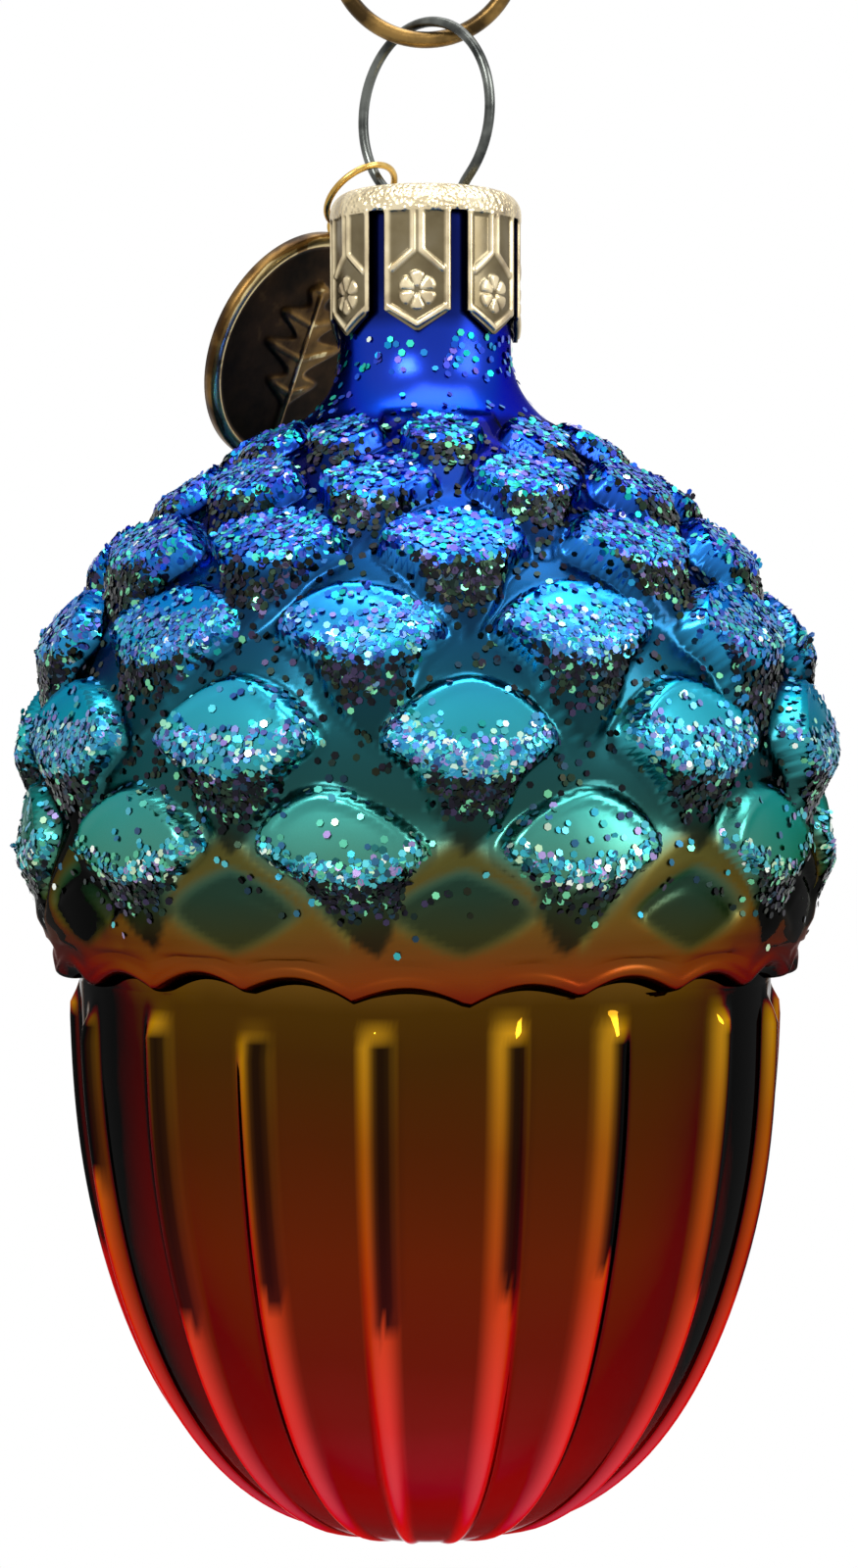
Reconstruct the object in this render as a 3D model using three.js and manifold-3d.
// Acorn ornament: a blown glass acorn with a scaled cup and a ribbed nut, hung by a crown cap,
// a wire hanger and an S-hook, with a small tag on a jump ring.
// Millimetres, +Z up. The origin is the place inside the hook's upper bend that rests on a branch.
// The ornament's front faces -Y.

import * as THREE from 'three';
import { mergeVertices } from 'three/addons/utils/BufferGeometryUtils.js';
import Module from 'manifold-3d';

const wasm = await Module();
wasm.setup();

// Clearance between pieces that rest on each other
const SEAT_GAP = 0.3;

// S-hook of round wire, with its radii on the wire's centre line
const HOOK_WIRE = 1.2;
const HOOK_UPPER_RADIUS = 7.5;
const HOOK_LOWER_RADIUS = 6.6;
const HOOK_BEND_SPACING = 20;
const HOOK_OVERTURN = THREE.MathUtils.degToRad(15);

// Wire hanger: an oval loop over the cap, and two spring legs inside the neck
const HANGER_WIRE = 0.75;
const LOOP_WIDTH = 12;
const LOOP_HEIGHT = 13.2;
const LOOP_RISE = 12.5;
const LOOP_TURN = THREE.MathUtils.degToRad(-40);
const LOOP_END = THREE.MathUtils.degToRad(-45);
const LEG_SPACING = 6.6;
const LEG_STRAIGHT = 8;
const LEG_BOW_LENGTH = 7;
const LEG_LENGTH = 24;

// Crown cap pressed from sheet
const CAP_RADIUS = 6.95;
const CAP_SHEET = 0.4;
const CAP_HEIGHT = 10.6;
const CAP_SHOULDER = 1.5;
const TINE_COUNT = 7;
const TINE_PHASE = THREE.MathUtils.degToRad(-95);
const TINE_GAP = 1;
const TINE_SLOT_TOP = 2;
const TINE_POINT_HEIGHT = 1.6;
const TINE_POINT_WIDTH = 0.3;

// Blown glass, with heights above the tip of the nut
const WALL = 0.9;
const NUT_RADIUS = 25.1;
const NUT_TOP = 41.2;
const NUT_FULLNESS = 2.5;
const NUT_TAPER = 2.2;
const RIB_COUNT = 18;
const RIB_PHASE = THREE.MathUtils.degToRad(-98.2);
const RIB_RELIEF = 0.85;
const RIB_HALF_WIDTH = THREE.MathUtils.degToRad(3.6);
const RIB_TOP = 40.3;
const RIB_ROUND = 2.4;
const RIM_RADIUS = 26.9;
const RIM_HEIGHT = 42.9;
const RIM_BEAD = 0.6;
const RIM_WAVE = 0.6;
const BELLY_RADIUS = 27.8;
const BELLY_HEIGHT = 54.5;
const SHOULDER_RADIUS = 11;
const SHOULDER_HEIGHT = 79.3;
const NECK_FILLET = 6.7;
const NECK_LENGTH = 10.7;

// Scales of the cup: surface distances from the rim to the crest of each row, and each row's relief
const SCALE_COUNT = 11;
const SCALE_PHASE = THREE.MathUtils.degToRad(-83.9);
const ROW_CRESTS = [1, 7.5, 14.4, 21.9, 28.5, 34.7, 41, 46.2];
const ROW_RELIEF = [0.3, 1.8, 2, 2.1, 2, 1.7, 1.2, 0.6];
const ROW_END = 48.6;

// Jump ring and tag
const RING_WIRE = 0.5;
const RING_RADIUS = 2.9;
const RING_PERCH = 2.1;
const TAG_RADIUS = 9.05;
const TAG_THICKNESS = 1.2;
const TAG_RIM = 0.7;
const TAG_RECESS = 0.25;
const TAG_BEVEL = 0.3;
const TAG_CLEARANCE = 1;
const EYELET_WIRE = 0.5;
const EYELET_HOLE = 1.2;
const EYELET_SINK = 0.2;

// Faces and rings of the facets
const WIRE_SIDES = 8;
const SCALE_STEPS = 8;
const ROW_STEPS = 4;
const RIB_CROWN = [-1, -0.4, 0.4, 1];
const NUT_RINGS = 12;
const NECK_SIDES = 44;
const BORE_SIDES = 32;
const BORE_STEPS = 8;
const CAP_SIDES = 42;
const LEAN_STEP = 0.002;

// What follows from the sizes above
const NECK_RADIUS = CAP_RADIUS - CAP_SHEET - SEAT_GAP - 0.05;
const WIRE_CROSSING = (HOOK_WIRE + HANGER_WIRE) / 2 + SEAT_GAP;
const HOOK_UPPER_Z = HOOK_WIRE / 2 - HOOK_UPPER_RADIUS;
const HOOK_LOWER_Z = HOOK_UPPER_Z - HOOK_BEND_SPACING;
const HOOK_BOTTOM_Z = HOOK_LOWER_Z - HOOK_LOWER_RADIUS;
const CAP_TOP_Z = HOOK_BOTTOM_Z + WIRE_CROSSING - LOOP_RISE;
const LOOP_CENTRE = LOOP_RISE - LOOP_HEIGHT / 2;
const FILLET_TOP = SHOULDER_HEIGHT + NECK_FILLET;
const LIP_HEIGHT = FILLET_TOP + NECK_LENGTH;
const TIP_DROP = CAP_SHEET + SEAT_GAP + LIP_HEIGHT;

const lerp = THREE.MathUtils.lerp;
const smoothstep = THREE.MathUtils.smoothstep;

function material(colour, roughness, metalness) {
  return new THREE.MeshStandardMaterial({ color: colour, roughness, metalness });
}

const BRASS = material(0xb08a4e, 0.35, 1);
const DARK_STEEL = material(0x4a4c4a, 0.35, 1);
const CHAMPAGNE = material(0xcbb98c, 0.38, 1);
const GOLD = material(0xb8944a, 0.3, 1);
const BRONZE = material(0x4d3a22, 0.5, 1);
const LACQUERED_GLASS = material(0x2a7f93, 0.15, 0.6);

function named(name, geometry, finish) {
  const mesh = new THREE.Mesh(geometry, finish);
  mesh.name = name;
  return mesh;
}

// A closed geometry as a manifold solid, turned right side out if its faces point in
function solid(geometry) {
  const plain = geometry.clone();
  plain.deleteAttribute('normal');
  plain.deleteAttribute('uv');
  const merged = mergeVertices(plain, 1e-4);
  const vertProperties = new Float32Array(merged.attributes.position.array);
  const triVerts = new Uint32Array(merged.index.array);
  const body = new wasm.Manifold(new wasm.Mesh({ numProp: 3, vertProperties, triVerts }));
  if (body.volume() > 0) return body;
  const flipped = triVerts.slice();
  for (let i = 0; i < flipped.length; i += 3) {
    [flipped[i], flipped[i + 1]] = [flipped[i + 1], flipped[i]];
  }
  return new wasm.Manifold(new wasm.Mesh({ numProp: 3, vertProperties, triVerts: flipped }));
}

function geometryOf(body) {
  const mesh = body.getMesh();
  const geometry = new THREE.BufferGeometry();
  geometry.setAttribute('position', new THREE.BufferAttribute(mesh.vertProperties, 3));
  geometry.setIndex(new THREE.BufferAttribute(mesh.triVerts, 1));
  geometry.computeVertexNormals();
  return geometry;
}

// A flat path of arcs and lines, stood up in the XZ plane
class StandingPath extends THREE.Curve {
  constructor(path) {
    super();
    this.path = path;
  }

  getPoint(t, target = new THREE.Vector3()) {
    const point = this.path.getPointAt(t);
    return target.set(point.x, 0, point.y);
  }
}

function roundSection(diameter, sides) {
  const section = new THREE.Shape();
  for (let i = 0; i < sides; i += 1) {
    const angle = (2 * Math.PI * (i + 0.5)) / sides;
    const x = (Math.cos(angle) * diameter) / 2;
    const y = (Math.sin(angle) * diameter) / 2;
    if (i === 0) section.moveTo(x, y);
    else section.lineTo(x, y);
  }
  section.closePath();
  return section;
}

function bentWire(path, diameter, steps) {
  const extrudePath = new StandingPath(path);
  const section = roundSection(diameter, WIRE_SIDES);
  return geometryOf(solid(new THREE.ExtrudeGeometry(section, { steps, extrudePath })));
}

// Straight lines and curves of a path as [radius, height] pairs
function outlineOf(path, divisions) {
  return path.getPoints(divisions).map((point) => [point.x, point.y]);
}

function revolve(outline, sides) {
  const points = outline.map(([radius, height]) => new THREE.Vector2(Math.max(radius, 0), height));
  return new THREE.LatheGeometry(points, sides).rotateX(Math.PI / 2);
}

function distanceToOutline(outline, radius, height) {
  let nearest = Infinity;
  for (let i = 1; i < outline.length; i += 1) {
    const [r0, z0] = outline[i - 1];
    const [dr, dz] = [outline[i][0] - r0, outline[i][1] - z0];
    const along = ((radius - r0) * dr + (height - z0) * dz) / (dr * dr + dz * dz);
    const t = THREE.MathUtils.clamp(along, 0, 1);
    nearest = Math.min(nearest, Math.hypot(radius - r0 - dr * t, height - z0 - dz * t));
  }
  return nearest;
}

// Hook

function hookGeometry() {
  const crossing = Math.asin((HOOK_UPPER_RADIUS + HOOK_LOWER_RADIUS) / HOOK_BEND_SPACING);
  const path = new THREE.Path();
  path.absarc(0, HOOK_LOWER_Z, HOOK_LOWER_RADIUS, Math.PI - HOOK_OVERTURN, 2 * Math.PI + crossing, false);
  path.absarc(0, HOOK_UPPER_Z, HOOK_UPPER_RADIUS, Math.PI + crossing, -HOOK_OVERTURN, true);
  return bentWire(path, HOOK_WIRE, 44);
}

// Wire hanger, drawn from the cap's top face

function loopPoint(angle) {
  return [(Math.cos(angle) * LOOP_WIDTH) / 2, LOOP_CENTRE + (Math.sin(angle) * LOOP_HEIGHT) / 2];
}

function hangerGeometry() {
  const hole = LEG_SPACING / 2;
  const bow = NECK_RADIUS - WALL - SEAT_GAP - HANGER_WIRE / 2 - 0.1;
  const [endX, endZ] = loopPoint(LOOP_END);
  const bowStart = -LEG_STRAIGHT;
  const bowEnd = bowStart - LEG_BOW_LENGTH;
  const path = new THREE.Path();
  path.moveTo(-bow, -LEG_LENGTH);
  path.lineTo(-bow, bowEnd);
  path.bezierCurveTo(-bow, bowEnd + 3, -hole, bowStart - 3, -hole, bowStart);
  path.lineTo(-hole, -0.4);
  path.bezierCurveTo(-hole, 0.2, -endX + 0.6, endZ - 0.65, -endX, endZ);
  path.absellipse(0, LOOP_CENTRE, LOOP_WIDTH / 2, LOOP_HEIGHT / 2, Math.PI - LOOP_END, LOOP_END, true);
  path.bezierCurveTo(endX - 0.6, endZ - 0.65, hole, 0.2, hole, -0.4);
  path.lineTo(hole, bowStart);
  path.bezierCurveTo(hole, bowStart - 3, bow, bowEnd + 3, bow, bowEnd);
  path.lineTo(bow, -LEG_LENGTH);
  return bentWire(path, HANGER_WIRE, 64);
}

// Crown cap, with its top face at zero

function capOutline() {
  const path = new THREE.Path();
  path.moveTo(0, 0);
  path.lineTo(CAP_RADIUS - CAP_SHOULDER, 0);
  path.absarc(CAP_RADIUS - CAP_SHOULDER, -CAP_SHOULDER, CAP_SHOULDER, Math.PI / 2, 0, true);
  path.lineTo(CAP_RADIUS, -CAP_HEIGHT);
  return path;
}

function capProfile() {
  const path = capOutline();
  const inner = CAP_RADIUS - CAP_SHEET;
  path.lineTo(inner, -CAP_HEIGHT);
  path.lineTo(inner, -CAP_SHOULDER);
  path.absarc(CAP_RADIUS - CAP_SHOULDER, -CAP_SHOULDER, CAP_SHOULDER - CAP_SHEET, 0, Math.PI / 2, false);
  path.lineTo(0, -CAP_SHEET);
  return outlineOf(path, 4);
}

// The gap between two tines, which opens out below into half of each tine's point
function tineGap() {
  const pitch = CAP_RADIUS * Math.sin(Math.PI / TINE_COUNT);
  const foot = pitch - TINE_POINT_WIDTH / 2;
  const shape = new THREE.Shape();
  shape.moveTo(-TINE_GAP / 2, -TINE_SLOT_TOP);
  shape.lineTo(-TINE_GAP / 2, TINE_POINT_HEIGHT - CAP_HEIGHT);
  shape.lineTo(-foot, -CAP_HEIGHT);
  shape.lineTo(-foot, -CAP_HEIGHT - 1);
  shape.lineTo(foot, -CAP_HEIGHT - 1);
  shape.lineTo(foot, -CAP_HEIGHT);
  shape.lineTo(TINE_GAP / 2, TINE_POINT_HEIGHT - CAP_HEIGHT);
  shape.lineTo(TINE_GAP / 2, -TINE_SLOT_TOP);
  const depth = CAP_RADIUS;
  const cutter = new THREE.ExtrudeGeometry(shape, { depth, bevelEnabled: false });
  return cutter.rotateX(Math.PI / 2).translate(0, -CAP_RADIUS / 2, 0);
}

function capGeometry() {
  let cap = solid(revolve(capProfile(), CAP_SIDES).rotateZ(TINE_PHASE));
  for (let i = 0; i < TINE_COUNT; i += 1) {
    const turn = TINE_PHASE + Math.PI / 2 + ((i + 0.5) * 2 * Math.PI) / TINE_COUNT;
    cap = cap.subtract(solid(tineGap().rotateZ(turn)));
  }
  for (const side of [-1, 1]) {
    const hole = new THREE.CylinderGeometry(
      HANGER_WIRE / 2 + SEAT_GAP, HANGER_WIRE / 2 + SEAT_GAP, 4 * CAP_SHEET, 12);
    hole.rotateX(Math.PI / 2).translate((side * LEG_SPACING) / 2, 0, 0).rotateZ(LOOP_TURN);
    cap = cap.subtract(solid(hole));
  }
  return geometryOf(cap);
}

// Glass shell, drawn from the tip of the nut

function nutRadius(height) {
  const depth = 1 - height / NUT_TOP;
  return NUT_RADIUS * Math.max(1 - depth ** NUT_TAPER, 0) ** (1 / NUT_FULLNESS);
}

// Heights of the nut's rings, which lie closer together near the tip
function nutHeight(share) {
  return NUT_TOP * (1 - Math.cos((Math.PI / 2) * share) ** 1.25);
}

// The floor between the scales, from the rim up to the lip
function cupOutline() {
  const path = new THREE.Path();
  path.moveTo(RIM_RADIUS, RIM_HEIGHT);
  path.bezierCurveTo(RIM_RADIUS + 1.4, RIM_HEIGHT + 2.7, BELLY_RADIUS, BELLY_HEIGHT - 4.5,
    BELLY_RADIUS, BELLY_HEIGHT);
  path.bezierCurveTo(BELLY_RADIUS, BELLY_HEIGHT + 9.5, SHOULDER_RADIUS + 11.6, SHOULDER_HEIGHT - 7.6,
    SHOULDER_RADIUS, SHOULDER_HEIGHT);
  path.bezierCurveTo(SHOULDER_RADIUS - 2.8, SHOULDER_HEIGHT + 1.9, NECK_RADIUS + 0.1, FILLET_TOP - 3,
    NECK_RADIUS, FILLET_TOP);
  path.lineTo(NECK_RADIUS, LIP_HEIGHT);
  return path;
}

function rowAt(distance) {
  let row = 1;
  while (row < ROW_CRESTS.length - 1 && distance > ROW_CRESTS[row]) row += 1;
  const [low, high] = [ROW_CRESTS[row - 1], ROW_CRESTS[row]];
  return row - 1 + (distance - low) / (high - low);
}

function distanceAt(row) {
  const low = THREE.MathUtils.clamp(Math.floor(row), 0, ROW_CRESTS.length - 2);
  return lerp(ROW_CRESTS[low], ROW_CRESTS[low + 1], row - low);
}

// One scale: across runs in pitches from its centre line, up in rows from its crest. An arched top
// edge, a bulging crest and a steep lower face that runs down to a point, 0 outside and 1 at the crest.
function scaleShape(across, up) {
  const side = Math.abs(across) / 0.38;
  const rise = up - 0.1;
  const trunk = 1 + 0.75 * smoothstep(-rise, 0, 0.45);
  const edge = rise > 0
    ? (side ** 1.5 + (rise / 0.62) ** 1.6) ** 0.65
    : side * trunk + (-rise / 1.12) ** 2.6;
  if (edge >= 1) return 0;
  const wall = 1 - smoothstep(edge, 0.8, 1);
  const crest = -0.2 + 0.34 * side ** 1.6;
  const climb = THREE.MathUtils.clamp((0.7 - up) / (0.7 - crest), 0, 1);
  const shelf = 0.45 + 0.57 * (1 - (1 - climb) ** 1.4);
  const fall = Math.max((crest - up) / (crest + 0.97), 0);
  const keel = 1 - 1.7 * fall + 0.85 * fall ** 2;
  return wall * Math.max(Math.min(shelf, keel, 1), 0) * (1 - 0.1 * side ** 2);
}

function scaleRelief(angle, distance) {
  const row = rowAt(distance);
  const pitch = (2 * Math.PI) / SCALE_COUNT;
  let relief = 0;
  for (let i = 0; i < ROW_RELIEF.length; i += 1) {
    const turn = (angle - SCALE_PHASE) / pitch + (i % 2 ? 0.5 : 0);
    const across = turn - Math.round(turn);
    relief = Math.max(relief, ROW_RELIEF[i] * scaleShape(across, row - i));
  }
  return relief;
}

function ribRelief(angle, height) {
  const turn = ((angle - RIB_PHASE) * RIB_COUNT) / (2 * Math.PI);
  const offset = Math.abs(turn - Math.round(turn)) * ((2 * Math.PI) / RIB_COUNT);
  if (offset > RIB_HALF_WIDTH) return 0;
  const crown = Math.cos((Math.PI / 2) * (offset / RIB_HALF_WIDTH)) ** 1.3;
  const top = smoothstep(RIB_TOP - height, 0, RIB_ROUND);
  const tip = Math.min(1, nutRadius(height) / 9);
  return RIB_RELIEF * crown * top * tip;
}

function ringAt(angles, pointAt) {
  return angles.map((angle) => {
    const [radius, height] = pointAt(angle);
    return [radius * Math.cos(angle), radius * Math.sin(angle), height];
  });
}

function ringOf(count, phase, pointAt) {
  const angles = Array.from({ length: count }, (_, i) => phase + (2 * Math.PI * i) / count);
  return ringAt(angles, pointAt);
}

// Directions round the nut: both feet and two points of every rib's crown, and the middle of each gap
function ribStations() {
  const pitch = (2 * Math.PI) / RIB_COUNT;
  const offsets = [...RIB_CROWN.map((share) => share * RIB_HALF_WIDTH), pitch / 2];
  return Array.from({ length: RIB_COUNT }, (_, rib) => (
    offsets.map((offset) => RIB_PHASE + rib * pitch + offset))).flat();
}

function nutRings() {
  const rings = [[[0, 0, 0]]];
  for (let i = 1; i <= NUT_RINGS; i += 1) {
    const height = nutHeight(i / NUT_RINGS);
    rings.push(ringAt(ribStations(), (angle) => [nutRadius(height) + ribRelief(angle, height), height]));
  }
  return rings;
}

function rimWave(angle) {
  return RIM_WAVE * (1 - 1.5 * Math.abs(Math.sin(SCALE_COUNT * (angle - SCALE_PHASE))));
}

function cupRings() {
  const count = SCALE_COUNT * SCALE_STEPS;
  const phase = SCALE_PHASE - Math.PI / SCALE_COUNT;
  const path = cupOutline();
  const length = path.getLength();
  const rings = [
    ringOf(count, phase, (angle) => [RIM_RADIUS - 0.6, RIM_HEIGHT - 1.2 - rimWave(angle)]),
    ringOf(count, phase, (angle) => [RIM_RADIUS + RIM_BEAD, RIM_HEIGHT - 0.5 - rimWave(angle)]),
    ringOf(count, phase, (angle) => [RIM_RADIUS + RIM_BEAD, RIM_HEIGHT + 0.3 - rimWave(angle) / 2]),
  ];
  for (let row = 0; distanceAt(row) < ROW_END; row += 1 / ROW_STEPS) {
    const distance = distanceAt(row);
    const floor = path.getPointAt(distance / length);
    const tangent = path.getTangentAt(distance / length);
    rings.push(ringOf(count, phase, (angle) => {
      const relief = scaleRelief(angle, distance);
      return [floor.x + tangent.y * relief, floor.y - tangent.x * relief];
    }));
  }
  return rings;
}

function neckRings() {
  const path = cupOutline();
  const length = path.getLength();
  const foot = ROW_END + 0.8;
  const collar = length - (LIP_HEIGHT - FILLET_TOP);
  const rings = [0, 0.5, 1].map((share) => {
    const point = path.getPointAt(lerp(foot, collar, share) / length);
    return ringOf(NECK_SIDES, SCALE_PHASE, () => [point.x, point.y]);
  });
  rings.push(ringOf(NECK_SIDES, SCALE_PHASE, () => [NECK_RADIUS, LIP_HEIGHT]));
  rings.push([[0, 0, LIP_HEIGHT]]);
  return rings;
}

// A closed skin over rings of points, which may differ in count. A ring of one point is a pole.
function skin(rings) {
  const starts = [];
  const positions = [];
  for (const ring of rings) {
    starts.push(positions.length / 3);
    positions.push(...ring.flat());
  }
  const faces = [];
  for (let k = 1; k < rings.length; k += 1) {
    const [low, high] = [rings[k - 1].length, rings[k].length];
    const lowAt = (i) => starts[k - 1] + (i % low);
    const highAt = (i) => starts[k] + (i % high);
    const [lowSteps, highSteps] = [low > 1 ? low : 0, high > 1 ? high : 0];
    for (let i = 0, j = 0; i < lowSteps || j < highSteps;) {
      const stepLow = j >= highSteps || (i < lowSteps && (i + 1) / low <= (j + 1) / high);
      if (stepLow) faces.push(lowAt(i), lowAt(i + 1), highAt(j));
      else faces.push(lowAt(i), highAt(j + 1), highAt(j));
      if (stepLow) i += 1;
      else j += 1;
    }
  }
  const geometry = new THREE.BufferGeometry();
  geometry.setAttribute('position', new THREE.Float32BufferAttribute(positions, 3));
  geometry.setIndex(faces);
  return geometry;
}

// The hollow inside, which stays a wall's thickness behind the floor between the scales and ribs
function boreOutline() {
  const outline = [[0, WALL]];
  for (let i = 1; i <= BORE_STEPS; i += 1) {
    const height = nutHeight(i / BORE_STEPS);
    outline.push([nutRadius(height) * (1 - WALL / NUT_RADIUS), lerp(WALL, NUT_TOP, height / NUT_TOP)]);
  }
  const path = cupOutline();
  const length = path.getLength();
  const collar = length - (LIP_HEIGHT - FILLET_TOP);
  for (let i = 0; i <= BORE_STEPS; i += 1) {
    const share = lerp(0.06, collar / length, i / BORE_STEPS);
    const floor = path.getPointAt(share);
    const tangent = path.getTangentAt(share);
    outline.push([floor.x - tangent.y * WALL, floor.y + tangent.x * WALL]);
  }
  outline.push([NECK_RADIUS - WALL, LIP_HEIGHT + 1]);
  outline.push([0, LIP_HEIGHT + 1]);
  return outline;
}

function glassGeometry() {
  const outside = solid(skin([...nutRings(), ...cupRings(), ...neckRings()]));
  return geometryOf(outside.subtract(solid(revolve(boreOutline(), BORE_SIDES))));
}

// Jump ring and tag

function ringGeometry() {
  const ring = new THREE.TorusGeometry(RING_RADIUS, RING_WIRE / 2, WIRE_SIDES - 2, 28);
  return geometryOf(solid(ring.rotateY(Math.PI / 2).translate(0, 0, -RING_RADIUS)));
}

const EYELET_DROP = EYELET_HOLE / 2 - RING_WIRE / 2 - SEAT_GAP;
const EYELET_RADIUS = (EYELET_HOLE + EYELET_WIRE) / 2;
const TAG_DROP = EYELET_DROP + EYELET_RADIUS + TAG_RADIUS - EYELET_SINK;

function tagProfile() {
  const half = TAG_THICKNESS / 2;
  const inner = TAG_RADIUS - TAG_RIM;
  return [
    [0, -half + TAG_RECESS],
    [inner - TAG_BEVEL, -half + TAG_RECESS],
    [inner, -half],
    [TAG_RADIUS - TAG_BEVEL, -half],
    [TAG_RADIUS, -half + TAG_BEVEL],
    [TAG_RADIUS, half - TAG_BEVEL],
    [TAG_RADIUS - TAG_BEVEL, half],
    [inner, half],
    [inner - TAG_BEVEL, half - TAG_RECESS],
    [0, half - TAG_RECESS],
  ];
}

function tagGeometry() {
  const disc = revolve(tagProfile(), 40).rotateY(Math.PI / 2).translate(0, 0, -TAG_DROP);
  const eyelet = new THREE.TorusGeometry(EYELET_RADIUS, EYELET_WIRE / 2, 6, 16);
  eyelet.rotateX(Math.PI / 2).translate(0, 0, -EYELET_DROP);
  return geometryOf(solid(disc).add(solid(eyelet)));
}

// The ring's upper strand crosses the hanger's left leg, RING_PERCH above the cap
function ringStrand() {
  const sine = (RING_PERCH - LOOP_CENTRE) / (LOOP_HEIGHT / 2);
  const cosine = Math.sqrt(1 - sine * sine);
  const inward = new THREE.Vector2(cosine / LOOP_WIDTH, -sine / LOOP_HEIGHT).normalize();
  const reach = (HANGER_WIRE + RING_WIRE) / 2 + SEAT_GAP;
  return [(-cosine * LOOP_WIDTH) / 2 + inward.x * reach, RING_PERCH + inward.y * reach];
}

// Lowers a leaning piece by small steps, from lying flat, until it is this near to what stops it
function leanUntilSeated(clearance, gapAt) {
  let lean = Math.PI / 2;
  while (lean > 0 && gapAt(lean - LEAN_STEP) > clearance) lean -= LEAN_STEP;
  return lean;
}

function ringLean([strandX, strandZ]) {
  const outline = outlineOf(capOutline(), 6);
  return leanUntilSeated(SEAT_GAP, (lean) => {
    let gap = Infinity;
    for (let i = 0; i <= 24; i += 1) {
      const turn = (Math.PI * i) / 24;
      const drop = RING_RADIUS * (1 + Math.cos(turn));
      const x = strandX - drop * Math.sin(lean);
      const radius = Math.hypot(x, RING_RADIUS * Math.sin(turn));
      const distance = distanceToOutline(outline, radius, strandZ - drop * Math.cos(lean));
      gap = Math.min(gap, distance - RING_WIRE / 2);
    }
    const footX = strandX - 2 * RING_RADIUS * Math.sin(lean);
    const footZ = strandZ - 2 * RING_RADIUS * Math.cos(lean);
    const eyelet = distanceToOutline(outline, -footX, footZ) - EYELET_RADIUS - EYELET_WIRE / 2 - EYELET_DROP;
    return Math.min(gap, eyelet);
  });
}

// The glass as the tag meets it, with every row at its full relief
function shoulderEnvelope() {
  const path = cupOutline();
  const length = path.getLength();
  const outline = [];
  for (let row = 3; distanceAt(row) < ROW_END + 4; row += 0.5) {
    const distance = distanceAt(row);
    const floor = path.getPointAt(distance / length);
    const tangent = path.getTangentAt(distance / length);
    const near = Math.min(Math.round(row), ROW_RELIEF.length - 1);
    const relief = ROW_RELIEF[near];
    outline.push([floor.x + tangent.y * relief, floor.y - tangent.x * relief - TIP_DROP]);
  }
  return outline;
}

function tagLean(footX, footZ) {
  const outline = shoulderEnvelope();
  return leanUntilSeated(TAG_CLEARANCE, (lean) => {
    let gap = Infinity;
    for (let i = 0; i <= 24; i += 1) {
      const turn = (Math.PI * i) / 48;
      const drop = TAG_DROP + TAG_RADIUS * Math.cos(turn);
      for (const side of [-0.5, 0.5]) {
        const inward = side * TAG_THICKNESS;
        const x = footX - drop * Math.sin(lean) + inward * Math.cos(lean);
        const z = footZ - drop * Math.cos(lean) - inward * Math.sin(lean);
        gap = Math.min(gap, distanceToOutline(outline, Math.hypot(x, TAG_RADIUS * Math.sin(turn)), z));
      }
    }
    return gap;
  });
}

// Each group's origin is where its piece hangs, and its Y axis is the axis that the piece swings about

function tagAssembly() {
  const [strandX, strandZ] = ringStrand();
  const leanOfRing = ringLean([strandX, strandZ]);
  const footX = strandX - 2 * RING_RADIUS * Math.sin(leanOfRing);
  const footZ = strandZ - 2 * RING_RADIUS * Math.cos(leanOfRing);
  const ring = new THREE.Group();
  ring.position.set(strandX, 0, strandZ);
  ring.rotation.y = leanOfRing;
  ring.add(named('jump_ring', ringGeometry(), GOLD));
  const tag = new THREE.Group();
  tag.position.z = -2 * RING_RADIUS;
  tag.rotation.y = tagLean(footX, footZ) - leanOfRing;
  tag.add(named('tag', tagGeometry(), BRONZE));
  ring.add(tag);
  return ring;
}

function hangerAssembly() {
  const hanger = new THREE.Group();
  hanger.position.z = CAP_TOP_Z;
  hanger.rotation.z = LOOP_TURN;
  hanger.add(named('wire_hanger', hangerGeometry(), DARK_STEEL));
  hanger.add(tagAssembly());
  return hanger;
}

function glassAssembly() {
  const glass = named('glass_shell', glassGeometry(), LACQUERED_GLASS);
  glass.position.z = -TIP_DROP;
  const capped = new THREE.Group();
  capped.position.z = CAP_TOP_Z;
  capped.add(named('crown_cap', capGeometry(), CHAMPAGNE));
  capped.add(glass);
  return capped;
}

const ornament = new THREE.Group();
ornament.add(named('hook', hookGeometry(), BRASS));
ornament.add(hangerAssembly());
ornament.add(glassAssembly());

export default ornament;
